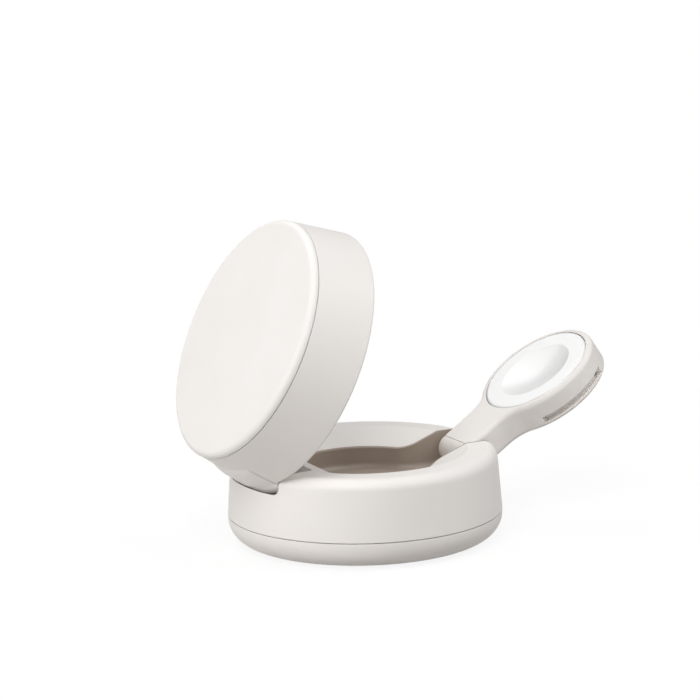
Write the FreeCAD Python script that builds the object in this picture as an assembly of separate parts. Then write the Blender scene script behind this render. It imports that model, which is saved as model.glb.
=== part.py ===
import FreeCAD, Part
import os
from math import atan2, cos, radians, sin, sqrt, tan

# Two-in-one magnetic charger: a round weighted base, a phone disc that tilts up
# and a watch arm that folds out of a recess in the base.
# Millimetres. The origin is the centre of the foot on the table, +Z is up and
# +X points to the watch arm, so the phone disc faces -X.
# The disc is modelled shut on the base and the arm stowed in it.
# Both are swung out to their working places when the parts are written.

# Base
base_radius = 35.0          # outer wall at the seam
wall_lean = 1.15            # the wall leans in this much from seam to rim
rim_height = 23.0
seam_height = 7.35
seam_gap = 0.2
bottom_rounding = 6.2
lip_rounding = 3.0
shell_wall = 2.2
top_wall = 1.8
spigot_height = 1.1
spigot_wall = 1.8
cover_floor = 1.8
foot_thickness = 1.2
foot_proud = 0.4            # the foot stands this far below the cover
foot_edge = 0.6             # from the foot to the start of the bottom rounding
foot_rounding = 0.3

# Dish, arm pocket and channel in the top of the base
rim_band = 8.5              # from the outer wall at the seam to the dish
dish_slope = 22.0           # degrees
bridge_inner = 18.5         # flat bridge beside the disc hinge, from the centre
bridge_corner = 5.0
tray_wall = 1.4
tray_lip = 0.6
tray_fit = 0.06
tray_floor_rounding = 1.6
cheek_liner_reach = 3.0     # the tray lines the cheeks this far past the arm hinge
pocket_clearance = 0.8
channel_clearance = 0.5
floor_clearance = 0.8
mouth_inset = 8.5           # the channel's mouth block starts this far inside the wall
cheek = 3.8                 # wall beside the arm hinge
mouth_floor = 1.6

# Watch arm
arm_thickness = 7.8
arm_sunk = 0.5              # the stowed arm lies this far below the rim
head_radius = 16.5
neck_half_width = 7.2
neck_fillet = 8.0
arm_hinge_inset = 6.4       # hinge axis, from the outer wall at the seam
arm_rise = 33.9             # working angle above the table, degrees
arm_edge = 1.2
arm_stop_gap = 0.3
barrel_groove = 0.8         # width of the groove between neck and barrel
barrel_groove_depth = 0.3
arm_pin_radius = 1.2
arm_pin_grip = 2.8          # length of pin in each cheek
washer_radius = 3.0
washer_thickness = 0.35
grip_low = 0.9              # finger slot, from the back of the head
grip_width = 2.0
grip_depth = 2.0
grip_rounding = 0.3
grip_start = 50.0           # degrees from the tip of the head
grip_end = 127.0

# Watch charging puck
puck_radius = 14.75
puck_gap = 0.2
puck_thickness = 2.0
puck_proud = 0.1
puck_edge = 0.5
dish_radius_puck = 10.0
dish_depth_puck = 1.3
puck_ledge = 1.2
watch_coil_gap = 1.35       # inside the head's hollow
watch_coil_hole = 5.0
watch_coil_thickness = 1.0
watch_magnet_radius = 4.3
watch_magnet_thickness = 2.2
watch_ferrite_thickness = 0.8
arm_cover_thickness = 1.1
arm_cover_fit = 0.1
arm_cover_neck = 4.4
arm_cover_reach = 17.9      # from the middle of the head
watch_board_thickness = 0.8
watch_board_stand = 0.6

# Phone disc
disc_gap = 0.2              # between the rim and the shut disc
disc_step = 1.3             # the disc's back edge lies inside the base's wall
disc_lean = 2.4             # its wall leans in this much from back to front
disc_wall_height = 15.0
disc_back_edge = 0.5
disc_wall = 2.0
face_thickness = 1.8
face_skin = 1.5
face_rounding = 1.65
face_spigot = 1.6
face_fit = 0.1
disc_hinge_inset = 6.05     # hinge axis, from the outer wall at the seam
disc_hinge_sunk = 1.25      # hinge axis, below the rim
disc_opening = 64.4         # working angle, degrees
back_plate_thickness = 1.6
back_plate_fit = 0.15

# Disc hinge
lug_half_width = 14.2
lug_clearance = 0.4
lug_proud = 0.8             # the lug's middle stands this far out of the disc's wall
lug_crown = 5.5             # the lug is rounder than the disc: its centre lies this far out
lug_height = 8.0            # full height up the disc's wall
lug_end = 10.5              # where it has run out into the wall
lug_bend = 6.0
lug_blend = 0.1
lug_rounding = 0.3
lug_narrowing = 1.3
lug_groove = 0.25           # width of the groove beside the lug
lug_groove_depth = 0.6
lug_block_height = 8.0
disc_pin_radius = 1.5
disc_pin_short = 0.4        # the pin ends this far inside the lug
running_fit = 0.03
sleeve_wall = 1.1
ear_middle = 8.0
ear_thickness = 2.0
ear_gap = 0.3
ear_radius = 3.2
leg_width = 3.2
leg_reach = 6.0             # far side of the bracket's leg, from the hinge axis
leg_swing = 20.0            # the leg's free angle in the lug, past the swing
bracket_plate = 1.2
bracket_drop = 8.5          # hinge axis to the top of the bracket's plate
notch_sill = 4.9            # the notch's lower edge, below the rim
notch_corner = 3.0
notch_inner_corner = 1.0
lug_bed_rounding = 2.0      # ends of the hollow under the lug
notch_side_gap = 0.5        # beside the lug at the outer wall
lean_gap = 0.35             # between the open disc's back edge and the base's lip
notch_inner = 14.2          # inner edge of the notch, from the outer wall

# Phone charging module
magnet_wall_gap = 2.3       # from the disc's inner wall at the front
magnet_width = 4.0
magnet_thickness = 2.2
magnet_count = 18
magnet_split = 0.25
coil_gap = 1.5              # inside the ring of magnets
coil_hole = 10.0
coil_thickness = 1.2
ferrite_gap = 0.5           # inside the ring of magnets
spreader_thickness = 0.8
board_thickness = 1.6
board_posts = 14.0          # post places along X and Y
board_post_height = 2.6
board_post_radius = 2.0

# Base inside
ballast_gap = 1.0           # inside the screw bosses
ballast_thickness = 2.6
base_board_height = 7.0
base_board_gap = 0.6
base_screw_inset = 9.2      # screw circle, from the outer wall
base_screw_angles = (65.0, 115.0, 245.0, 295.0)
boss_radius = 2.8
screw_radius = 1.1
screw_head_radius = 2.0
screw_head_height = 1.1
screw_bite = 3.5
small_screw_radius = 0.9
small_screw_head_radius = 1.7
small_screw_bite = 2.4
usb_width = 8.94
usb_height = 3.26
usb_depth = 7.3
usb_mouth_width = 8.34
usb_mouth_height = 2.56
usb_mouth_depth = 5.6
usb_tongue = 0.7
usb_tongue_width = 6.7
usb_set_back = 0.7
usb_opening_gap = 0.35
seat_flat = 0.04            # half of the short flat at each end of the oval

# Places worked out from the sizes above
wall_radius_rim = base_radius - wall_lean
dish_radius = base_radius - rim_band
base_screw_circle = base_radius - base_screw_inset
ballast_radius = base_screw_circle - boss_radius - ballast_gap
pocket_radius = head_radius + pocket_clearance
channel_half_width = neck_half_width + channel_clearance
arm_hinge_x = base_radius - arm_hinge_inset
arm_hollow_radius = puck_radius - 2 * puck_ledge
watch_coil_radius = arm_hollow_radius - watch_coil_gap
arm_back_z = rim_height - arm_sunk
arm_hinge_z = arm_back_z - arm_thickness / 2
puck_face_z = arm_back_z - arm_thickness
pocket_floor_z = puck_face_z - floor_clearance
mouth_x = base_radius - mouth_inset
disc_hinge_x = base_radius - disc_hinge_inset
disc_hinge_z = rim_height - disc_hinge_sunk
disc_back_z = rim_height + disc_gap
disc_back_radius = base_radius - disc_step
disc_front_radius = disc_back_radius - disc_lean
magnet_outer = disc_front_radius - disc_wall - magnet_wall_gap
magnet_inner = magnet_outer - magnet_width
coil_radius = magnet_inner - coil_gap
ferrite_radius = magnet_inner - ferrite_gap
disc_seam_z = disc_back_z + disc_wall_height
disc_top_z = disc_seam_z + face_thickness
face_inside_z = disc_top_z - face_skin
notch_inner_x = base_radius - notch_inner
cradle_low_z = disc_hinge_z - bracket_drop
base_board_top_z = base_board_height + board_thickness
cover_low_z = foot_proud
cover_inside_z = cover_low_z + cover_floor
far = 4 * base_radius       # longer than anything here, for cutting tools
overcut = 1.0               # a cutting tool runs this far past a face
touching = 1e-6             # points closer than this are one


def in_xz(u, v):
    return FreeCAD.Vector(u, 0, v)


def in_xy(u, v):
    return FreeCAD.Vector(u, v, 0)


def in_yz(u, v):
    return FreeCAD.Vector(0, u, v)


def rounded_face(corners, place):
    """A flat face through (u, v, radius) corners, each rounded by its radius."""
    turns = []
    for i, (u, v, radius) in enumerate(corners):
        here = place(u, v)
        if radius == 0:
            turns.append((here, None, here))
            continue
        before = (place(*corners[i - 1][:2]) - here).normalize()
        after = (place(*corners[(i + 1) % len(corners)][:2]) - here).normalize()
        half = before.getAngle(after) / 2
        inward = (before + after).normalize()
        reach = radius / tan(half)
        middle = here + inward * (radius / sin(half) - radius)
        turns.append((here + before * reach, middle, here + after * reach))
    edges = []
    for i, (start, middle, end) in enumerate(turns):
        last = turns[i - 1][2]
        if last.distanceToPoint(start) > touching:
            edges.append(Part.LineSegment(last, start).toShape())
        if middle is not None:
            edges.append(Part.Arc(start, middle, end).toShape())
    return Part.Face(Part.Wire(edges))


def lathe(corners):
    """A solid turned about the base's axis from (radius, height, rounding) corners."""
    face = rounded_face(corners, in_xz)
    return face.revolve(FreeCAD.Vector(), FreeCAD.Vector(0, 0, 1), 360)


def ring(inner, outer, low, high):
    return lathe([(inner, low, 0), (outer, low, 0), (outer, high, 0), (inner, high, 0)])


def plug(radius, low, high, x=0.0, y=0.0):
    """An upright round bar."""
    return Part.makeCylinder(radius, high - low, FreeCAD.Vector(x, y, low))


def block(x0, x1, half_width, low, high):
    return Part.makeBox(x1 - x0, 2 * half_width, high - low, FreeCAD.Vector(x0, -half_width, low))


def bar_y(radius, x, z, y0, y1):
    """A round bar along a hinge, from y0 to y1."""
    return Part.makeCylinder(radius, y1 - y0, FreeCAD.Vector(x, y0, z), FreeCAD.Vector(0, 1, 0))


def slab_y(corners, y0, y1):
    """A plate seen from the side, from y0 to y1."""
    face = rounded_face(corners, in_xz)
    face.translate(FreeCAD.Vector(0, y0, 0))
    return face.extrude(FreeCAD.Vector(0, y1 - y0, 0))


def keyhole(radius, half_width, fillet, end_x, low, high):
    """A round head about the axis with a neck out to end_x, joined by hollow fillets."""
    fillet_x = sqrt((radius + fillet) ** 2 - (half_width + fillet) ** 2)
    fillet_y = half_width + fillet
    share = radius / (radius + fillet)
    on_head = in_xy(fillet_x * share, fillet_y * share)
    on_neck = in_xy(fillet_x, half_width)
    centre = in_xy(fillet_x, fillet_y)
    towards = ((on_head - centre) + (on_neck - centre)).normalize()
    middle = centre + towards * fillet
    end = in_xy(end_x, half_width)

    def mirrored(point):
        return in_xy(point.x, -point.y)

    edges = [
        Part.LineSegment(mirrored(end), end),
        Part.LineSegment(end, on_neck),
        Part.Arc(on_neck, middle, on_head),
        Part.Arc(on_head, in_xy(-radius, 0), mirrored(on_head)),
        Part.Arc(mirrored(on_head), mirrored(middle), mirrored(on_neck)),
        Part.LineSegment(mirrored(on_neck), mirrored(end)),
    ]
    face = Part.Face(Part.Wire([edge.toShape() for edge in edges]))
    face.translate(FreeCAD.Vector(0, 0, low))
    return face.extrude(FreeCAD.Vector(0, 0, high - low))


def join(first, *others):
    return first.fuse(list(others)).removeSplitter()


def cut(shape, *tools):
    return shape.cut(list(tools))


def base_wall(height):
    """Outer radius of the base at a height above the seam."""
    share = (height - seam_height) / (rim_height - seam_height)
    return base_radius - wall_lean * share


def dish_height(radius):
    return rim_height - (dish_radius - radius) * tan(radians(dish_slope))


def disc_radius(height):
    """Outer radius of the shut disc's wall at a height."""
    return disc_back_radius - disc_lean * (height - disc_back_z) / disc_wall_height


def lug_edge(y):
    """Radius of the lug's barrel at a place along the hinge, after the lug's crowned edge."""
    edge = disc_back_radius + lug_proud - lug_crown
    out = lug_crown + sqrt(edge ** 2 - y ** 2) - disc_hinge_x
    return sqrt(out ** 2 + (disc_back_z - disc_hinge_z) ** 2) + lug_blend


def screw_places():
    for angle in base_screw_angles:
        turn = radians(angle)
        yield base_screw_circle * cos(turn), base_screw_circle * sin(turn)


# Base

def base_block():
    """The shell's outside, with the dish pressed into its flat top."""
    low = seam_height + seam_gap / 2
    body = lathe([
        (0, low, 0),
        (base_wall(low), low, 0),
        (wall_radius_rim, rim_height, lip_rounding),
        (0, rim_height, 0),
    ])
    above = rim_height + top_wall
    rise = above - rim_height
    cone = lathe([
        (0, dish_height(0), 0),
        (dish_radius + rise / tan(radians(dish_slope)), above, 0),
        (0, above, 0),
    ])
    half_chord = sqrt(dish_radius ** 2 - bridge_inner ** 2)
    room = rounded_face([
        (-bridge_inner, -half_chord, bridge_corner),
        (dish_radius, -dish_radius * 2, 0),
        (dish_radius * 2, 0, 0),
        (dish_radius, dish_radius * 2, 0),
        (-bridge_inner, half_chord, bridge_corner),
    ], in_xy).extrude(FreeCAD.Vector(0, 0, far))
    dish = cone.common(room).common(plug(dish_radius, 0, far))
    return cut(body, dish)


def cavity(fit=0.0):
    """The hollow under the shell's top; fit shrinks it for what goes inside."""
    low = seam_height - spigot_height
    under = top_wall + fit
    inner_low = base_wall(low) - shell_wall - fit
    inner_rim = wall_radius_rim - shell_wall - fit
    hollow = lathe([
        (0, low, 0),
        (inner_low, low, 0),
        (inner_rim, rim_height - under, lip_rounding / 2),
        (dish_radius, rim_height - under, 0),
        (pocket_radius, dish_height(pocket_radius) - under, 0),
        (0, dish_height(pocket_radius) - under, 0),
    ])
    bosses = [plug(boss_radius, base_board_top_z, far, x, y) for x, y in screw_places()]
    cradle = block(-far, -bridge_inner + top_wall / 2 + fit, lug_half_width + cheek,
                   cradle_low_z - fit, far)
    mouth = block(mouth_x - fit, far, channel_half_width + cheek,
                  pocket_floor_z - mouth_floor - fit, far)
    return cut(hollow, cradle, mouth, *bosses)


def notch():
    """The opening in the wall where the disc's lug swings, with its round bed."""
    outer_half = lug_half_width + notch_side_gap
    window = rounded_face([
        (-outer_half, rim_height - notch_sill, notch_corner),
        (outer_half, rim_height - notch_sill, notch_corner),
        (outer_half, far, 0),
        (-outer_half, far, 0),
    ], in_yz).extrude(FreeCAD.Vector(-far, 0, 0))
    inner_half = lug_half_width - lug_clearance
    plan = rounded_face([
        (-notch_inner_x, -inner_half, notch_inner_corner),
        (-notch_inner_x, inner_half, notch_inner_corner),
        (-base_radius, outer_half, 0),
        (-base_radius, -outer_half, 0),
    ], in_xy).extrude(FreeCAD.Vector(0, 0, far))
    return window.common(plan).fuse(lug_bed())


def lean_relief():
    """Takes the lip back a little where the open disc's edge comes down beside the notch."""
    return open_disc(disc_cone(-lean_gap, disc_back_z - lean_gap, disc_seam_z))


def mouth_cut():
    """The channel through the wall, with the sloped stop under the raised arm."""
    rise = radians(arm_rise)
    drop = arm_thickness / 2 + arm_stop_gap
    stop_x = arm_hinge_x + drop * sin(rise)
    stop_z = arm_hinge_z - drop * cos(rise)
    reach = base_radius
    return slab_y([
        (mouth_x - overcut, pocket_floor_z, 0),
        (arm_hinge_x, pocket_floor_z, 0),
        (stop_x, stop_z, 0),
        (stop_x + reach * cos(rise), stop_z + reach * sin(rise), 0),
        (stop_x + reach * cos(rise), far, 0),
        (mouth_x - overcut, far, 0),
    ], -channel_half_width, channel_half_width)


def bracket_slots():
    """Room in the cradle for the bracket's two legs."""
    x0 = -disc_hinge_x + leg_reach - leg_width - running_fit
    x1 = -disc_hinge_x + leg_reach + running_fit
    half = ear_thickness / 2 + running_fit
    slots = []
    for side in (-ear_middle, ear_middle):
        slots.append(Part.makeBox(x1 - x0, 2 * half, bracket_drop,
                                  FreeCAD.Vector(x0, side - half, cradle_low_z)))
        slots.append(bar_y(ear_radius + ear_gap, -disc_hinge_x, disc_hinge_z, side - half, side + half))
    return slots


def bracket_screw_places():
    x = -disc_hinge_x + leg_reach - leg_width / 2
    for side in (-1, 1):
        yield x, side * ear_middle / 2


def usb_centre_z():
    return base_board_top_z + usb_height / 2


def usb_front_x():
    return base_wall(usb_centre_z()) - usb_set_back


def stadium_x(width, height, x0, x1, centre_z):
    """A bar along X with a flat oval section."""
    rounding = height / 2 - seat_flat
    face = rounded_face([
        (-width / 2, centre_z - height / 2, rounding),
        (width / 2, centre_z - height / 2, rounding),
        (width / 2, centre_z + height / 2, rounding),
        (-width / 2, centre_z + height / 2, rounding),
    ], in_yz)
    face.translate(FreeCAD.Vector(x0, 0, 0))
    return face.extrude(FreeCAD.Vector(x1 - x0, 0, 0))


def base_shell():
    opening = keyhole(pocket_radius + tray_lip + tray_fit, channel_half_width + tray_lip + tray_fit,
                      neck_fillet - pocket_clearance - tray_lip - tray_fit, mouth_x + far, 0, far)
    opening = opening.common(block(-far, mouth_x, far, 0, far))
    shell = cut(base_block(), cavity(), opening, notch(), mouth_cut(), lean_relief())
    pin_hole = bar_y(arm_pin_radius, arm_hinge_x, arm_hinge_z,
                     -channel_half_width - arm_pin_grip, channel_half_width + arm_pin_grip)
    usb_hole = stadium_x(usb_width + 2 * usb_opening_gap, usb_height + 2 * usb_opening_gap,
                         usb_front_x() - usb_depth - usb_opening_gap, far, usb_centre_z())
    holes = [plug(screw_radius, 0, base_board_top_z + screw_bite, x, y) for x, y in screw_places()]
    for x, y in bracket_screw_places():
        holes.append(plug(small_screw_radius, 0, cradle_low_z + small_screw_bite, x, y))
    return cut(shell, pin_hole, usb_hole, cheek_slots(tray_fit), *bracket_slots(), *holes)


def cheek_slots(fit):
    """The thin slots beside the arm hinge that the tray's liners fill; fit widens them."""
    low = pocket_floor_z - mouth_floor - overcut
    high = channel_half_width + tray_lip + fit
    slots = block(mouth_x - overcut, arm_hinge_x + cheek_liner_reach + fit, high, low, far)
    return cut(slots, block(-far, far, channel_half_width, low, far))


def inner_tray():
    low = pocket_floor_z - tray_wall
    fillet = neck_fillet - pocket_clearance
    body = keyhole(pocket_radius + tray_wall, channel_half_width + tray_wall, fillet - tray_wall,
                   mouth_x - tray_fit, low, far).common(cavity(tray_fit))
    lip = keyhole(pocket_radius + tray_lip, channel_half_width + tray_lip, fillet - tray_lip,
                  mouth_x - tray_fit, low, far).common(base_block())
    end_x = mouth_x + overcut
    room = keyhole(pocket_radius, channel_half_width, fillet, end_x, pocket_floor_z, far)
    low_edges = [edge for edge in room.Edges if edge.BoundBox.ZMax < pocket_floor_z + tray_fit]
    floor_edges = [edge for edge in low_edges if edge.BoundBox.XMin < end_x - tray_fit]
    room = room.makeFillet(tray_floor_rounding, floor_edges)
    liners = cut(cheek_slots(0).common(base_block()), block(-far, far, far, -far, low))
    pin = bar_y(arm_pin_radius + tray_fit, arm_hinge_x, arm_hinge_z, -far, far)
    return cut(join(body, lip, liners), room, pin)


def base_bottom_cover():
    top = seam_height - seam_gap / 2
    outside = lathe([
        (0, cover_low_z, 0),
        (base_radius, cover_low_z, bottom_rounding),
        (base_radius, top, 0),
        (0, top, 0),
    ])
    spigot_radius = base_wall(seam_height) - shell_wall - face_fit
    spigot = ring(0, spigot_radius, cover_inside_z, seam_height + spigot_height)
    inside = lathe([
        (0, cover_inside_z, 0),
        (spigot_radius - spigot_wall, cover_inside_z, bottom_rounding - cover_floor),
        (spigot_radius - spigot_wall, far, 0),
        (0, far, 0),
    ])
    body = cut(join(outside, spigot), inside)
    bosses = [plug(boss_radius, cover_low_z + cover_floor / 2, base_board_height, x, y)
              for x, y in screw_places()]
    body = join(body, *bosses)
    recess = plug(foot_radius() + face_fit, 0, foot_thickness)
    holes = []
    for x, y in screw_places():
        holes.append(plug(screw_radius, 0, far, x, y))
        holes.append(plug(screw_head_radius + face_fit, 0, foot_thickness + screw_head_height, x, y))
    return cut(body, recess, *holes)


def foot_radius():
    return base_radius - bottom_rounding - foot_edge


def foot_pad():
    return lathe([
        (0, 0, 0),
        (foot_radius(), 0, foot_rounding),
        (foot_radius(), foot_thickness, 0),
        (0, foot_thickness, 0),
    ])


def ballast_plate():
    return plug(ballast_radius, cover_inside_z, cover_inside_z + ballast_thickness)


def base_circuit_board():
    radius = base_wall(seam_height) - shell_wall - face_fit - spigot_wall - base_board_gap
    board = plug(radius, base_board_height, base_board_top_z)
    return cut(board, *[plug(screw_radius, 0, far, x, y) for x, y in screw_places()])


def usb_c_socket():
    front = usb_front_x()
    centre = usb_centre_z()
    case = stadium_x(usb_width, usb_height, front - usb_depth, front, centre)
    mouth = stadium_x(usb_mouth_width, usb_mouth_height, front - usb_mouth_depth, front, centre)
    tongue = block(front - usb_mouth_depth, front - usb_tongue, usb_tongue_width / 2,
                   centre - usb_tongue / 2, centre + usb_tongue / 2)
    return join(cut(case, mouth), tongue)


def base_screws():
    screws = []
    for x, y in screw_places():
        head = plug(screw_head_radius, foot_thickness, foot_thickness + screw_head_height, x, y)
        shank = plug(screw_radius, foot_thickness, base_board_top_z + screw_bite, x, y)
        screws.append(join(head, shank))
    return Part.makeCompound(screws)


# Hinge of the phone disc

def barrel(half, middle, end, rounding):
    """A crowned barrel about the disc's hinge, from its radius in the middle and at its
    ends, with rounded rims."""
    fall = middle - end
    crown = (half ** 2 + fall ** 2) / (2 * fall)
    centre = in_xy(middle - crown, 0)
    rim_y = half - rounding
    rim = in_xy(centre.x + sqrt((crown - rounding) ** 2 - rim_y ** 2), rim_y)
    on_crown = centre + (rim - centre) * (crown / (crown - rounding))
    on_end = in_xy(rim.x, half)
    between = rim + ((on_crown - rim) + (on_end - rim)).normalize() * rounding

    def mirrored(point):
        return in_xy(point.x, -point.y)

    edges = [
        Part.LineSegment(in_xy(0, -half), mirrored(on_end)),
        Part.Arc(mirrored(on_end), mirrored(between), mirrored(on_crown)),
        Part.Arc(mirrored(on_crown), in_xy(middle, 0), on_crown),
        Part.Arc(on_crown, between, on_end),
        Part.LineSegment(on_end, in_xy(0, half)),
        Part.LineSegment(in_xy(0, half), in_xy(0, -half)),
    ]
    face = Part.Face(Part.Wire([edge.toShape() for edge in edges]))
    turned = face.revolve(FreeCAD.Vector(), FreeCAD.Vector(0, 1, 0), 360)
    turned.translate(FreeCAD.Vector(-disc_hinge_x, 0, disc_hinge_z))
    return turned


def lug_barrel():
    return barrel(lug_half_width, lug_edge(0), lug_edge(lug_half_width), lug_rounding)


def lug_bed():
    """The hollow that the lug turns in: it meets the base's round wall along the notch's sill."""
    half = lug_half_width + lug_clearance
    sill_z = rim_height - notch_sill
    wall = base_wall(sill_z)
    drop = disc_hinge_z - sill_z
    middle = sqrt((wall - disc_hinge_x) ** 2 + drop ** 2)
    end = sqrt((sqrt(wall ** 2 - half ** 2) - disc_hinge_x) ** 2 + drop ** 2)
    return barrel(half, middle, end, lug_bed_rounding)


def disc_hinge_pin():
    half = lug_half_width - disc_pin_short
    return bar_y(disc_pin_radius, -disc_hinge_x, disc_hinge_z, -half, half)


def disc_friction_sleeve():
    half = ear_middle - ear_thickness / 2 - ear_gap
    outer = bar_y(disc_pin_radius + sleeve_wall, -disc_hinge_x, disc_hinge_z, -half, half)
    return cut(outer, bar_y(disc_pin_radius + running_fit, -disc_hinge_x, disc_hinge_z, -half, half))


def disc_hinge_bracket():
    """A stamped bracket: two ears about the pin, their legs and one plate under the cradle."""
    x, z = -disc_hinge_x, disc_hinge_z
    legs = []
    for side in (-ear_middle, ear_middle):
        y0, y1 = side - ear_thickness / 2, side + ear_thickness / 2
        leg = slab_y([
            (x + ear_radius - bracket_plate, z, 0),
            (x + leg_reach, z - leg_width, 0),
            (x + leg_reach, z - bracket_drop, 0),
            (x + leg_reach - leg_width, z - bracket_drop, 0),
            (x + leg_reach - leg_width, z - leg_width, 0),
            (x, z - ear_radius + bracket_plate, 0),
        ], y0, y1)
        legs.append(join(bar_y(ear_radius, x, z, y0, y1), leg))
    plate = block(x + leg_reach - leg_width - bracket_plate, x + leg_reach,
                  ear_middle + ear_thickness / 2, cradle_low_z - bracket_plate, cradle_low_z)
    holes = [plug(small_screw_radius, 0, far, sx, sy) for sx, sy in bracket_screw_places()]
    pin = bar_y(disc_pin_radius, x, z, -lug_half_width, lug_half_width)
    return cut(join(plate, *legs), pin, *holes)


def bracket_screws():
    screws = []
    for x, y in bracket_screw_places():
        low = cradle_low_z - bracket_plate
        head = plug(small_screw_head_radius, low - screw_head_height, low, x, y)
        shank = plug(small_screw_radius, low, cradle_low_z + small_screw_bite, x, y)
        screws.append(join(head, shank))
    return Part.makeCompound(screws)


# Phone disc, shut on the base

def disc_cone(inset, low, high, edge=0.0):
    return lathe([
        (0, low, 0),
        (disc_radius(low) - inset, low, edge),
        (disc_radius(high) - inset, high, 0),
        (0, high, 0),
    ])


def lug_inner_x():
    return -disc_hinge_x + lug_edge(0) + lug_clearance


def lug_block():
    """The part of the disc's inside that carries the hinge."""
    box = block(-far, lug_inner_x(), lug_half_width, disc_back_z, disc_back_z + lug_block_height)
    return box.common(disc_cone(0, disc_back_z, disc_seam_z, disc_back_edge))


def lug_sides(inset):
    """The wedge between the lug's two sides; inset narrows it."""
    half = lug_half_width - lug_blend - inset
    top = disc_back_z + lug_height
    return rounded_face([
        (-half, disc_back_z, 0),
        (half, disc_back_z, 0),
        (half - lug_narrowing, top, 0),
        (half - 2 * lug_narrowing, disc_back_z + lug_end, 0),
        (2 * lug_narrowing - half, disc_back_z + lug_end, 0),
        (lug_narrowing - half, top, 0),
    ], in_yz).extrude(FreeCAD.Vector(-far, 0, 0))


def lug_pad():
    """The crowned tongue on the disc's wall above the hinge, running out into the wall."""
    top = disc_back_z + lug_height
    end = disc_back_z + lug_end
    inner = disc_back_radius - lug_crown - 2 * disc_wall
    tongue = lathe([
        (inner, disc_back_z, 0),
        (disc_back_radius + lug_proud - lug_crown, disc_back_z, 0),
        (disc_radius(top) + lug_proud - lug_crown, top, lug_bend),
        (disc_radius(end) - lug_proud - lug_crown, end, 0),
        (inner, end, 0),
    ])
    tongue.translate(FreeCAD.Vector(-lug_crown, 0, 0))
    return tongue.common(lug_sides(0))


def lug_grooves():
    """The shallow grooves along the lug's sides, running out towards their tops."""
    top = disc_back_z + lug_height
    core = lathe([
        (0, disc_back_z, 0),
        (disc_back_radius - lug_groove_depth, disc_back_z, 0),
        (disc_radius(top), top, 0),
        (disc_radius(top), far, 0),
        (0, far, 0),
    ])
    return cut(lug_sides(0), lug_sides(lug_groove), core)


def ear_slots():
    """Room in the lug for the bracket's ears over the whole swing."""
    x, z = -disc_hinge_x, disc_hinge_z
    half = ear_thickness / 2 + ear_gap
    reach = lug_edge(0) + lug_proud
    last = -radians(disc_opening + leg_swing) - atan2(leg_width, leg_reach - leg_width)
    slots = []
    for side in (-ear_middle, ear_middle):
        centre = in_xz(x, z)
        edge = [centre + in_xz(reach * cos(a), reach * sin(a)) for a in (0, last / 2, last)]
        wire = Part.Wire([
            Part.LineSegment(centre, edge[0]).toShape(),
            Part.Arc(*edge).toShape(),
            Part.LineSegment(edge[2], centre).toShape(),
        ])
        face = Part.Face(wire)
        face.translate(FreeCAD.Vector(0, side - half, 0))
        slots.append(face.extrude(FreeCAD.Vector(0, 2 * half, 0)))
        slots.append(bar_y(ear_radius + ear_gap, x, z, side - half, side + half))
    return slots


def disc_housing():
    wall = cut(disc_cone(0, disc_back_z, disc_seam_z - seam_gap / 2, disc_back_edge),
               disc_cone(disc_wall, disc_back_z, disc_seam_z))
    body = join(wall, lug_block(), lug_pad(), lug_barrel())
    half = ear_middle - ear_thickness / 2 - ear_gap
    sleeve_bore = bar_y(disc_pin_radius + sleeve_wall, -disc_hinge_x, disc_hinge_z, -half, half)
    pin_bore = bar_y(disc_pin_radius + running_fit, -disc_hinge_x, disc_hinge_z, -far, far)
    return cut(body, lug_grooves(), pin_bore, sleeve_bore, *ear_slots())


def disc_face():
    low = disc_seam_z + seam_gap / 2
    body = lathe([
        (0, low, 0),
        (disc_front_radius, low, 0),
        (disc_front_radius, disc_top_z, face_rounding - seam_gap / 2),
        (0, disc_top_z, 0),
    ])
    inner = disc_radius(disc_seam_z - face_spigot) - disc_wall - face_fit
    inner_top = min(inner, disc_front_radius - disc_wall - face_fit)
    spigot = ring(0, inner_top, disc_seam_z - face_spigot, low)
    hollow = plug(magnet_outer + face_fit, 0, face_inside_z)
    return cut(join(body, spigot), hollow)


def board_post_places():
    for x in (-board_posts, board_posts):
        for y in (-board_posts, board_posts):
            yield x, y


def disc_back_plate():
    top = disc_back_z + back_plate_thickness
    plate = plug(disc_radius(top) - disc_wall - back_plate_fit, disc_back_z, top)
    lug_room = block(-far, lug_inner_x() + back_plate_fit, lug_half_width + back_plate_fit, 0, far)
    posts = [plug(board_post_radius, disc_back_z, top + board_post_height, x, y)
             for x, y in board_post_places()]
    holes = [plug(small_screw_radius, top, far, x, y) for x, y in board_post_places()]
    return cut(join(plate, *posts), lug_room, *holes)


def board_low_z():
    return disc_back_z + back_plate_thickness + board_post_height


def disc_circuit_board():
    low = board_low_z()
    board = plug(magnet_outer - base_board_gap, low, low + board_thickness)
    lug_room = block(-far, lug_inner_x() + base_board_gap, far, 0, far)
    return cut(board, lug_room, *[plug(small_screw_radius, 0, far, x, y) for x, y in board_post_places()])


def disc_board_screws():
    screws = []
    top = board_low_z() + board_thickness
    for x, y in board_post_places():
        head = plug(small_screw_head_radius, top, top + screw_head_height, x, y)
        shank = plug(small_screw_radius, disc_back_z + back_plate_thickness, top, x, y)
        screws.append(join(head, shank))
    return Part.makeCompound(screws)


def magnet_ring():
    whole = ring(magnet_inner, magnet_outer, face_inside_z - magnet_thickness, face_inside_z)
    gaps = []
    for i in range(magnet_count):
        gap = Part.makeBox(far, magnet_split, far, FreeCAD.Vector(0, -magnet_split / 2, 0))
        gap.rotate(FreeCAD.Vector(), FreeCAD.Vector(0, 0, 1), 360.0 * i / magnet_count)
        gaps.append(gap)
    return cut(whole, *gaps)


def charging_coil():
    return ring(coil_hole, coil_radius, face_inside_z - coil_thickness, face_inside_z)


def ferrite_shield():
    top = face_inside_z - coil_thickness
    return plug(ferrite_radius, face_inside_z - magnet_thickness, top)


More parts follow.
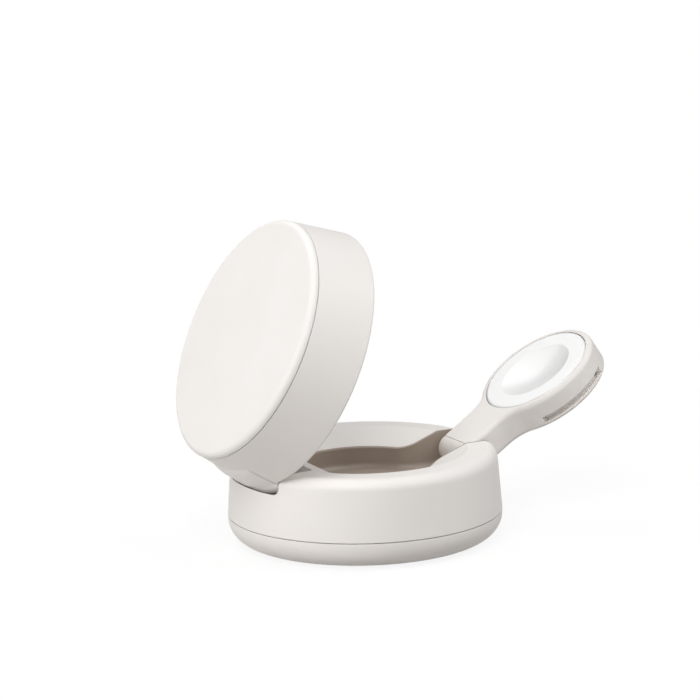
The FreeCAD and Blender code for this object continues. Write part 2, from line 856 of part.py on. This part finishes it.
def heat_spreader():
    top = face_inside_z - magnet_thickness
    return plug(magnet_outer, top - spreader_thickness, top)


# Watch arm, stowed: the puck faces down and the back lies just under the rim

def arm_blank():
    """The arm's outside: a round head, a straight neck and the barrel on its hinge."""
    body = keyhole(head_radius, neck_half_width, neck_fillet, arm_hinge_x, puck_face_z, arm_back_z)
    body = join(body, bar_y(arm_thickness / 2, arm_hinge_x, arm_hinge_z, -neck_half_width, neck_half_width))
    rims = []
    for edge in body.Edges:
        box = edge.BoundBox
        flat = box.ZLength < touching and abs(box.ZMin - arm_hinge_z) > arm_thickness / 2 - touching
        if flat and box.XMin < arm_hinge_x - touching:
            rims.append(edge)
    return body.makeFillet(arm_edge, rims)


def grip_slot():
    """The finger slot in one side of the head, near its back."""
    top = arm_back_z - grip_low
    face = rounded_face([
        (head_radius - grip_depth, top - grip_width, grip_rounding),
        (head_radius + overcut, top - grip_width, 0),
        (head_radius + overcut, top, 0),
        (head_radius - grip_depth, top, grip_rounding),
    ], in_xz)
    face.rotate(FreeCAD.Vector(), FreeCAD.Vector(0, 0, 1), 180 + grip_start)
    return face.revolve(FreeCAD.Vector(), FreeCAD.Vector(0, 0, 1), grip_end - grip_start)


def puck_back_z():
    return puck_face_z + puck_thickness


def arm_cover_low_z():
    return arm_back_z - arm_cover_thickness


def arm_cover_shape(fit, high):
    return keyhole(puck_radius - puck_ledge + fit, arm_cover_neck + fit, neck_fillet - fit,
                   arm_cover_reach + fit, arm_cover_low_z(), high)


def arm_housing():
    seat = plug(puck_radius + puck_gap, 0, puck_back_z())
    inside = plug(arm_hollow_radius, 0, arm_cover_low_z())
    cover_room = arm_cover_shape(arm_cover_fit, far)
    groove = block(arm_hinge_x - barrel_groove / 2, arm_hinge_x + barrel_groove / 2, far,
                   puck_face_z - overcut, puck_face_z + barrel_groove_depth)
    pin_bore = bar_y(arm_pin_radius + running_fit, arm_hinge_x, arm_hinge_z, -far, far)
    slot = grip_slot()
    other = slot.mirror(FreeCAD.Vector(), FreeCAD.Vector(0, 1, 0))
    return cut(arm_blank(), seat, inside, cover_room, groove, pin_bore, slot, other)


def arm_back_cover():
    plate = arm_cover_shape(0, arm_back_z)
    rib_outer = arm_hollow_radius - arm_cover_fit
    low = arm_cover_low_z() - watch_board_stand
    rib = ring(rib_outer - puck_ledge, rib_outer, low, arm_cover_low_z())
    return join(plate, rib)


def watch_puck():
    """The white charging face: a disc with a shallow round hollow for the watch's back."""
    face_z = puck_face_z - puck_proud
    disc = lathe([
        (0, face_z, 0),
        (puck_radius, face_z, puck_edge),
        (puck_radius, puck_back_z(), 0),
        (0, puck_back_z(), 0),
    ])
    ball_radius = (dish_radius_puck ** 2 + dish_depth_puck ** 2) / (2 * dish_depth_puck)
    ball = Part.makeSphere(ball_radius, FreeCAD.Vector(0, 0, face_z + dish_depth_puck - ball_radius))
    return cut(disc, ball)


def watch_coil():
    low = puck_back_z()
    return ring(watch_coil_hole, watch_coil_radius, low, low + watch_coil_thickness)


def watch_magnet():
    low = puck_back_z()
    return plug(watch_magnet_radius, low, low + watch_magnet_thickness)


def watch_ferrite():
    low = puck_back_z() + watch_coil_thickness
    return ring(watch_coil_hole, watch_coil_radius, low, low + watch_ferrite_thickness)


def watch_circuit_board():
    high = arm_cover_low_z() - watch_board_stand
    return plug(arm_hollow_radius - arm_cover_fit, high - watch_board_thickness, high)


def arm_hinge_pin():
    half = channel_half_width + arm_pin_grip
    return bar_y(arm_pin_radius, arm_hinge_x, arm_hinge_z, -half, half)


def arm_spring_washers():
    washers = []
    for side in (-1, 1):
        ends = sorted((side * channel_half_width, side * (channel_half_width - washer_thickness)))
        disc = bar_y(washer_radius, arm_hinge_x, arm_hinge_z, *ends)
        washers.append(cut(disc, bar_y(arm_pin_radius, arm_hinge_x, arm_hinge_z, -far, far)))
    return Part.makeCompound(washers)


# Writing the parts at their working places

def stays(shape):
    return shape


def open_disc(shape):
    shape.rotate(FreeCAD.Vector(-disc_hinge_x, 0, disc_hinge_z), FreeCAD.Vector(0, -1, 0), disc_opening)
    return shape


def raise_arm(shape):
    shape.rotate(FreeCAD.Vector(arm_hinge_x, 0, arm_hinge_z), FreeCAD.Vector(0, 1, 0), 180 - arm_rise)
    return shape


base_parts = (
    foot_pad, base_bottom_cover, base_shell, inner_tray, ballast_plate, base_circuit_board,
    usb_c_socket, base_screws, disc_hinge_bracket, bracket_screws, disc_hinge_pin,
    arm_hinge_pin, arm_spring_washers,
)
disc_parts = (
    disc_housing, disc_face, disc_back_plate, disc_friction_sleeve, charging_coil, ferrite_shield,
    magnet_ring, heat_spreader, disc_circuit_board, disc_board_screws,
)
arm_parts = (
    arm_housing, arm_back_cover, watch_puck, watch_coil, watch_magnet, watch_ferrite, watch_circuit_board,
)


def write_parts():
    os.makedirs("parts", exist_ok=True)
    for parts, move in ((base_parts, stays), (disc_parts, open_disc), (arm_parts, raise_arm)):
        for make in parts:
            shape = move(make())
            shape.exportStep(os.path.join("parts", make.__name__ + ".step"))


write_parts()
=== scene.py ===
import math

import bpy
from mathutils import Matrix, Vector


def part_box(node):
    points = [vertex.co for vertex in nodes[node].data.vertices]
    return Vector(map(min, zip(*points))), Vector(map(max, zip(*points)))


# Two-in-one magnetic charger: a round base, a tilting phone disc and a flip-up watch arm.
# Metres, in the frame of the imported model.
MM = 0.001

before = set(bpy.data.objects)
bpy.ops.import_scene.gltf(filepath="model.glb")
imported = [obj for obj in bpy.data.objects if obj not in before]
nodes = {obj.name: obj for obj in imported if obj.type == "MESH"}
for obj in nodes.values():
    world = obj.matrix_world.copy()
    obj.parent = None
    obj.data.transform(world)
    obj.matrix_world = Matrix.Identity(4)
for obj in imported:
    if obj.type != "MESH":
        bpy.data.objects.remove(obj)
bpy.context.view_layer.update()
scene = bpy.context.scene


# Tools for the materials

NOISE_LOW, NOISE_HIGH = 0.3, 0.7    # the range that most of a noise pattern lies in
DRIFT_SIZE = 22 * MM                # patches in which a plastic's colour drifts
GLOSS_SPREAD = 0.08                 # how far roughness strays from its mean
PLASTIC_IOR = 1.5


def linear(hex_colour):
    """An sRGB hex colour as the linear values that the shaders take."""
    parts = [int(hex_colour[i:i + 2], 16) / 255 for i in (0, 2, 4)]
    return [p / 12.92 if p <= 0.04045 else ((p + 0.055) / 1.055) ** 2.4 for p in parts] + [1.0]


def add(tree, kind, inputs=None, **settings):
    """Adds a node. An input is a plain value, or (node, output name) for a link."""
    node = tree.nodes.new(kind)
    for key, value in settings.items():
        setattr(node, key, value)
    for key, value in (inputs or {}).items():
        if isinstance(value, tuple):
            tree.links.new(value[0].outputs[value[1]], node.inputs[key])
        else:
            node.inputs[key].default_value = value
    return node


def start_material(name):
    material = bpy.data.materials.new(name)
    material.use_nodes = True
    material.node_tree.nodes.clear()
    return material, material.node_tree


def finish_material(tree, shader):
    add(tree, "ShaderNodeOutputMaterial", {"Surface": (shader, shader.outputs[0].name)})


def two_colours(tree, pattern, output, dark, light, low=NOISE_LOW, high=NOISE_HIGH):
    """Runs from the dark to the light colour along a pattern."""
    ramp = add(tree, "ShaderNodeValToRGB", {"Fac": (pattern, output)})
    first, last = ramp.color_ramp.elements
    first.position, first.color = low, linear(dark)
    last.position, last.color = high, linear(light)
    return ramp


def moulded_plastic(name, light, dark, rough, grain, depth, edge=0.25):
    """Injection-moulded plastic: a colour that drifts very little, the fine grain of the steel
    tool, and the slightly round edges that a tool leaves. Sizes in millimetres."""
    material, tree = start_material(name)
    place = add(tree, "ShaderNodeTexCoord")
    drift = add(tree, "ShaderNodeTexNoise", {
        "Vector": (place, "Object"), "Scale": 1 / DRIFT_SIZE, "Detail": 2.0, "Roughness": 0.5})
    tint = two_colours(tree, drift, "Fac", dark, light)
    grit = add(tree, "ShaderNodeTexNoise", {
        "Vector": (place, "Object"), "Scale": 1 / (grain * MM), "Detail": 3.0, "Roughness": 0.6})
    gloss = add(tree, "ShaderNodeMapRange", {
        "Value": (grit, "Fac"), "From Min": NOISE_LOW, "From Max": NOISE_HIGH,
        "To Min": (1 - GLOSS_SPREAD) * rough, "To Max": (1 + GLOSS_SPREAD) * rough})
    round_edge = add(tree, "ShaderNodeBevel", {"Radius": edge * MM}, samples=6)
    bump = add(tree, "ShaderNodeBump", {
        "Height": (grit, "Fac"), "Strength": 0.3, "Distance": depth * MM,
        "Normal": (round_edge, "Normal")})
    skin = add(tree, "ShaderNodeBsdfPrincipled", {
        "Base Color": (tint, "Color"), "Roughness": (gloss, "Result"), "IOR": PLASTIC_IOR,
        "Normal": (bump, "Normal")})
    finish_material(tree, skin)
    return material


def worked_metal(name, light, dark, rough, streak):
    """Metal with fine marks from the way it was worked; streak holds the marks' length
    along each axis, in millimetres."""
    material, tree = start_material(name)
    place = add(tree, "ShaderNodeTexCoord")
    stretch = add(tree, "ShaderNodeMapping", {
        "Vector": (place, "Object"), "Scale": [1 / (s * MM) for s in streak]})
    marks = add(tree, "ShaderNodeTexNoise", {
        "Vector": (stretch, "Vector"), "Scale": 1.0, "Detail": 4.0, "Roughness": 0.6})
    tint = two_colours(tree, marks, "Fac", dark, light)
    gloss = add(tree, "ShaderNodeMapRange", {
        "Value": (marks, "Fac"), "From Min": NOISE_LOW, "From Max": NOISE_HIGH,
        "To Min": rough - GLOSS_SPREAD, "To Max": rough + GLOSS_SPREAD})
    round_edge = add(tree, "ShaderNodeBevel", {"Radius": 0.1 * MM}, samples=4)
    bump = add(tree, "ShaderNodeBump", {
        "Height": (marks, "Fac"), "Strength": 0.2, "Distance": 0.02 * MM,
        "Normal": (round_edge, "Normal")})
    skin = add(tree, "ShaderNodeBsdfPrincipled", {
        "Base Color": (tint, "Color"), "Metallic": 1.0, "Roughness": (gloss, "Result"),
        "Normal": (bump, "Normal")})
    finish_material(tree, skin)
    return material


def inlet_steel(name, centre):
    """Drawn steel case of the inlet round its black moulded tongue. The tongue lies about the
    centre and carries twelve gold-plated contacts, half a millimetre apart."""
    tongue_half_height = 0.6 * MM
    tongue_half_width = 3.6 * MM
    row_half_width = 3.0 * MM
    half_pitch = 0.25 * MM
    half_gap = 0.1 * MM             # half of the black left between two contacts
    material, tree = start_material(name)
    place = add(tree, "ShaderNodeTexCoord")
    centred = add(tree, "ShaderNodeMapping", {
        "Vector": (place, "Object"), "Location": [-c for c in centre]})
    marks = add(tree, "ShaderNodeTexNoise", {
        "Vector": (centred, "Vector"), "Scale": 1 / (0.3 * MM), "Detail": 4.0, "Roughness": 0.6})
    steel = two_colours(tree, marks, "Fac", "B4B5B5", "CFCFCE")
    axes = add(tree, "ShaderNodeSeparateXYZ", {"Vector": (centred, "Vector")})
    across = add(tree, "ShaderNodeMath", {0: (axes, "Y")}, operation="ABSOLUTE")
    height = add(tree, "ShaderNodeMath", {0: (axes, "Z")}, operation="ABSOLUTE")
    level = add(tree, "ShaderNodeMath", {
        0: (height, "Value"), 1: tongue_half_height}, operation="LESS_THAN")
    wide = add(tree, "ShaderNodeMath", {
        0: (across, "Value"), 1: tongue_half_width}, operation="LESS_THAN")
    tongue = add(tree, "ShaderNodeMath", {
        0: (level, "Value"), 1: (wide, "Value")}, operation="MULTIPLY")
    comb = add(tree, "ShaderNodeMath", {
        0: (across, "Value"), 1: half_pitch}, operation="PINGPONG")
    strips = add(tree, "ShaderNodeMath", {
        0: (comb, "Value"), 1: half_gap}, operation="GREATER_THAN")
    row = add(tree, "ShaderNodeMath", {
        0: (across, "Value"), 1: row_half_width}, operation="LESS_THAN")
    on_row = add(tree, "ShaderNodeMath", {
        0: (strips, "Value"), 1: (row, "Value")}, operation="MULTIPLY")
    contacts = add(tree, "ShaderNodeMath", {
        0: (on_row, "Value"), 1: (tongue, "Value")}, operation="MULTIPLY")
    body = add(tree, "ShaderNodeMix", {
        0: (tongue, "Value"), 6: (steel, "Color"), 7: linear("1B1B1D")}, data_type="RGBA")
    plated = add(tree, "ShaderNodeMix", {
        0: (contacts, "Value"), 6: (body, 2), 7: linear("DDB863")}, data_type="RGBA")
    bare = add(tree, "ShaderNodeMath", {0: 1.0, 1: (tongue, "Value")}, operation="SUBTRACT")
    metal = add(tree, "ShaderNodeMath", {
        0: (bare, "Value"), 1: (contacts, "Value")}, operation="ADD")
    round_edge = add(tree, "ShaderNodeBevel", {"Radius": 0.1 * MM}, samples=4)
    skin = add(tree, "ShaderNodeBsdfPrincipled", {
        "Base Color": (plated, 2), "Metallic": (metal, "Value"), "Roughness": 0.3,
        "Normal": (round_edge, "Normal")})
    finish_material(tree, skin)
    return material


def wound_copper(name, centre, tilt, pitch):
    """Enamelled copper wire wound flat: round turns side by side, shaped by a bump, with a painted
    highlight on each turn and painted shade between turns.
    The rings lie about the coil's own centre and axis; tilt in degrees, pitch in millimetres."""
    ring_period = 2 * math.pi / 20  # of the wave texture's rings at scale 1
    material, tree = start_material(name)
    place = add(tree, "ShaderNodeTexCoord")
    shift = add(tree, "ShaderNodeMapping", {
        "Vector": (place, "Object"), "Location": [-c for c in centre]})
    turn = add(tree, "ShaderNodeMapping", {
        "Vector": (shift, "Vector"), "Rotation": [0.0, math.radians(tilt), 0.0]})
    turns = add(tree, "ShaderNodeTexWave", {
        "Vector": (turn, "Vector"), "Scale": ring_period / (pitch * MM), "Distortion": 0.0},
        wave_type="RINGS", rings_direction="Z")
    # Painted highlight and painted shade: the colour runs from dark copper between the turns to
    # bright copper along each turn.
    tint = two_colours(tree, turns, "Fac", "7A3A1C", "D98A55", 0.1, 0.9)
    bump = add(tree, "ShaderNodeBump", {
        "Height": (turns, "Fac"), "Strength": 0.8, "Distance": 0.3 * pitch * MM})
    skin = add(tree, "ShaderNodeBsdfPrincipled", {
        "Base Color": (tint, "Color"), "Metallic": 1.0, "Roughness": 0.35,
        "Normal": (bump, "Normal"), "Coat Weight": 0.4, "Coat Roughness": 0.1})
    finish_material(tree, skin)
    return material


def solder_mask(name):
    """Glass-fibre board under green solder mask: copper tracks show as slightly lighter bands."""
    track_pitch = 6 * MM
    material, tree = start_material(name)
    place = add(tree, "ShaderNodeTexCoord")
    tracks = add(tree, "ShaderNodeTexBrick", {
        "Vector": (place, "Object"), "Scale": 1 / track_pitch, "Mortar Size": 0.03,
        "Color1": linear("1E5A3A"), "Color2": linear("1B5235"), "Mortar": linear("2F7A50")})
    skin = add(tree, "ShaderNodeBsdfPrincipled", {
        "Base Color": (tracks, "Color"), "Roughness": 0.4, "IOR": PLASTIC_IOR, "Coat Weight": 0.3})
    finish_material(tree, skin)
    return material


def middle_of(node):
    low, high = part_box(node)
    return [(a + b) / 2 for a, b in zip(low, high)]


# Materials. A plastic has its light and dark colour, roughness, grain size and grain depth.

WARM_WHITE_ABS = ("F2EEEB", "EFEBE7", 0.52, 0.5, 0.02)
DISC_LEAN = 64.4                    # degrees that the phone coil leans at rest
ARM_LEAN = -146.1                   # degrees that the watch coil leans at rest

# Moulded ABS in warm off-white: satin, with a fine even grain that softens every highlight.
shell_abs = moulded_plastic("moulded_abs_warm_white", *WARM_WHITE_ABS)
# The same ABS on the arm: its finger slots are too thin for edges rounded in the shading.
arm_abs = moulded_plastic("moulded_abs_warm_white_arm", *WARM_WHITE_ABS, edge=0.0)
# Soft-touch polycarbonate on the phone face: smoother and a little flatter than the wall.
face_polycarbonate = moulded_plastic(
    "soft_touch_polycarbonate", "F2EFEC", "EFECE8", 0.6, 0.4, 0.01)
# Taupe ABS tray: satin, a shade darker in its grain.
tray_abs = moulded_plastic("moulded_abs_taupe", "ADA094", "A5988C", 0.38, 0.6, 0.02)
# Polished white polycarbonate on the watch puck: smooth, with soft bright reflections.
puck_polycarbonate = moulded_plastic(
    "polished_polycarbonate_white", "F7F7F7", "F5F5F5", 0.24, 4.0, 0.0004)
# Silicone rubber foot: dull, with a fine matt grain.
foot_silicone = moulded_plastic("silicone_rubber_grey", "A9A39D", "9C968F", 0.75, 0.4, 0.03)
# Sintered ferrite: nearly black ceramic with a dull fine grain.
sintered_ferrite = moulded_plastic("sintered_ferrite", "3A3A3C", "2C2C2E", 0.65, 0.3, 0.02)
# Zinc-plated steel of pins, screws and ballast: cool grey, with fine marks from the lathe.
plated_steel = worked_metal("zinc_plated_steel", "C9CACB", "A9ABAD", 0.35, (0.2, 3.0, 0.2))
# Nickel-plated magnets: bright and slightly yellow.
nickel_magnet = worked_metal("nickel_plated_magnet", "D6D2CA", "BDB9B1", 0.22, (1.0, 1.0, 1.0))
# Rolled aluminium sheet: pale, with long streaks the way it was rolled.
rolled_aluminium = worked_metal("rolled_aluminium", "DADBDD", "C2C4C7", 0.4, (6.0, 0.2, 0.2))
# Circuit boards: green and half glossy, with faint lighter tracks.
board_mask = solder_mask("solder_mask_board")
# Copper coils: red-brown, with a painted highlight as a bright line on each turn of the wire and
# painted shade between the turns.
phone_coil_copper = wound_copper(
    "enamelled_copper_phone_coil", middle_of("charging_coil"), DISC_LEAN, 1.1)
watch_coil_copper = wound_copper(
    "enamelled_copper_watch_coil", middle_of("watch_coil"), ARM_LEAN, 0.6)
# Drawn stainless steel of the inlet's case, bright against the black tongue inside it.
drawn_steel = inlet_steel("drawn_stainless_steel", middle_of("usb_c_socket"))

finishes = {
    shell_abs: ("base_shell", "base_bottom_cover", "disc_housing", "disc_back_plate"),
    arm_abs: ("arm_housing", "arm_back_cover"),
    face_polycarbonate: ("disc_face",),
    tray_abs: ("inner_tray",),
    puck_polycarbonate: ("watch_puck",),
    foot_silicone: ("foot_pad",),
    plated_steel: (
        "ballast_plate", "base_screws", "disc_hinge_bracket", "bracket_screws", "disc_hinge_pin",
        "arm_hinge_pin", "arm_spring_washers", "disc_friction_sleeve", "disc_board_screws"),
    drawn_steel: ("usb_c_socket",),
    nickel_magnet: ("magnet_ring", "watch_magnet"),
    rolled_aluminium: ("heat_spreader",),
    sintered_ferrite: ("ferrite_shield", "watch_ferrite"),
    board_mask: ("base_circuit_board", "disc_circuit_board", "watch_circuit_board"),
    phone_coil_copper: ("charging_coil",),
    watch_coil_copper: ("watch_coil",),
}
for finish, names in finishes.items():
    for name in names:
        for slot in nodes[name].material_slots:
            slot.material = finish


# Studio

FLOOR_SIZE = 12.0
SHADOW_EDGE = 0.06                  # from here outwards the floor turns white
ALL_WHITE = 0.2                     # and from here it is white
SHADOW_LIFT = 0.88                  # of white, even in the deepest shadow on the floor
WORLD_LEVEL = 0.18
LAMP_AIM = Vector((0.0, 0.0, 40 * MM))
LAMP_REACH = 1.1
# Azimuth and elevation in degrees, width and height in metres, power in watts
SOFTBOXES = {
    "left_softbox": (178, 12, 0.5, 0.5, 4.1),
    "front_softbox": (232, 45, 0.6, 0.6, 6.4),
    "right_softbox": (330, 52, 0.6, 1.1, 5.4),
    "back_softbox": (100, 48, 0.6, 0.7, 3.2),
}
# The photograph's camera, as fitted to the photograph
FOCAL_LENGTH = 174.86               # millimetres, on a sensor 36 mm wide
CAMERA_PLACE = Vector((-368.9, -756.4, 222.9)) * MM
CAMERA_RIGHT = Vector((0.8978, -0.4398, -0.0248))
CAMERA_FORWARD = Vector((0.4263, 0.8816, -0.2026))


def white_sweep():
    """A plain pale floor. Near the object it takes the soft shadow, and further out it is white.
    The paper's colour sets only how much light the floor throws back at the object."""
    bpy.ops.object.select_all(action="DESELECT")
    bpy.ops.mesh.primitive_plane_add(size=FLOOR_SIZE, location=(0, 0, 0))
    floor = bpy.context.active_object
    floor.name = "studio_floor"
    material, tree = start_material("studio_floor_paper")
    place = add(tree, "ShaderNodeTexCoord")
    away = add(tree, "ShaderNodeVectorMath", {0: (place, "Object")}, operation="LENGTH")
    far_off = add(tree, "ShaderNodeMapRange", {
        "Value": (away, "Value"), "From Min": SHADOW_EDGE, "From Max": ALL_WHITE},
        interpolation_type="SMOOTHSTEP")
    paper = add(tree, "ShaderNodeBsdfDiffuse", {"Color": linear("B6B3B0")})
    shaded = add(tree, "ShaderNodeBsdfDiffuse", {"Color": linear("636363")})
    lift = add(tree, "ShaderNodeEmission", {"Color": linear("FFFFFF"), "Strength": SHADOW_LIFT})
    near = add(tree, "ShaderNodeAddShader", {0: (shaded, "BSDF"), 1: (lift, "Emission")})
    white = add(tree, "ShaderNodeEmission", {"Color": linear("FFFFFF"), "Strength": 1.0})
    seen = add(tree, "ShaderNodeMixShader", {
        0: (far_off, "Result"), 1: (near, "Shader"), 2: (white, "Emission")})
    rays = add(tree, "ShaderNodeLightPath")
    straight = add(tree, "ShaderNodeMath", {
        0: (rays, "Is Camera Ray"), 1: (rays, "Is Glossy Ray")}, operation="MAXIMUM")
    looking = add(tree, "ShaderNodeMath", {
        0: (straight, "Value"), 1: (rays, "Is Transmission Ray")}, operation="MAXIMUM")
    whole = add(tree, "ShaderNodeMixShader", {
        0: (looking, "Value"), 1: (paper, "BSDF"), 2: (seen, "Shader")})
    finish_material(tree, whole)
    floor.data.materials.append(material)


def soft_world():
    """Even light from all round; seen directly it is white."""
    world = bpy.data.worlds.new("studio_world")
    scene.world = world
    world.use_nodes = True
    tree = world.node_tree
    tree.nodes.clear()
    glow = add(tree, "ShaderNodeBackground", {"Color": linear("FFFFFF"), "Strength": WORLD_LEVEL})
    white = add(tree, "ShaderNodeBackground", {"Color": linear("FFFFFF"), "Strength": 1.0})
    rays = add(tree, "ShaderNodeLightPath")
    mixed = add(tree, "ShaderNodeMixShader", {
        0: (rays, "Is Camera Ray"), 1: (glow, "Background"), 2: (white, "Background")})
    add(tree, "ShaderNodeOutputWorld", {"Surface": (mixed, "Shader")})


def softbox(name, azimuth, elevation, width, height, power):
    """A rectangular studio lamp that faces the object from a direction."""
    around, upward = math.radians(azimuth), math.radians(elevation)
    towards = Vector((math.cos(upward) * math.cos(around), math.cos(upward) * math.sin(around),
                      math.sin(upward)))
    lamp = bpy.data.lights.new(name, "AREA")
    lamp.shape = "RECTANGLE"
    lamp.size = width
    lamp.size_y = height
    lamp.energy = power
    holder = bpy.data.objects.new(name, lamp)
    scene.collection.objects.link(holder)
    holder.location = LAMP_AIM + towards * LAMP_REACH
    holder.rotation_euler = (-towards).to_track_quat("-Z", "Y").to_euler()


def photo_camera():
    """The photograph's place and lens."""
    lens = bpy.data.cameras.new("photo_camera")
    lens.sensor_width = 36.0
    lens.lens = FOCAL_LENGTH
    lens.clip_start = 0.01
    holder = bpy.data.objects.new("photo_camera", lens)
    scene.collection.objects.link(holder)
    right = CAMERA_RIGHT.normalized()
    forward = CAMERA_FORWARD.normalized()
    up = right.cross(forward)
    turn = Matrix((right, up, -forward)).transposed().to_4x4()
    holder.matrix_world = Matrix.Translation(CAMERA_PLACE) @ turn
    scene.camera = holder


white_sweep()
soft_world()
for name, setting in SOFTBOXES.items():
    softbox(name, *setting)
photo_camera()

scene.view_settings.view_transform = "Standard"
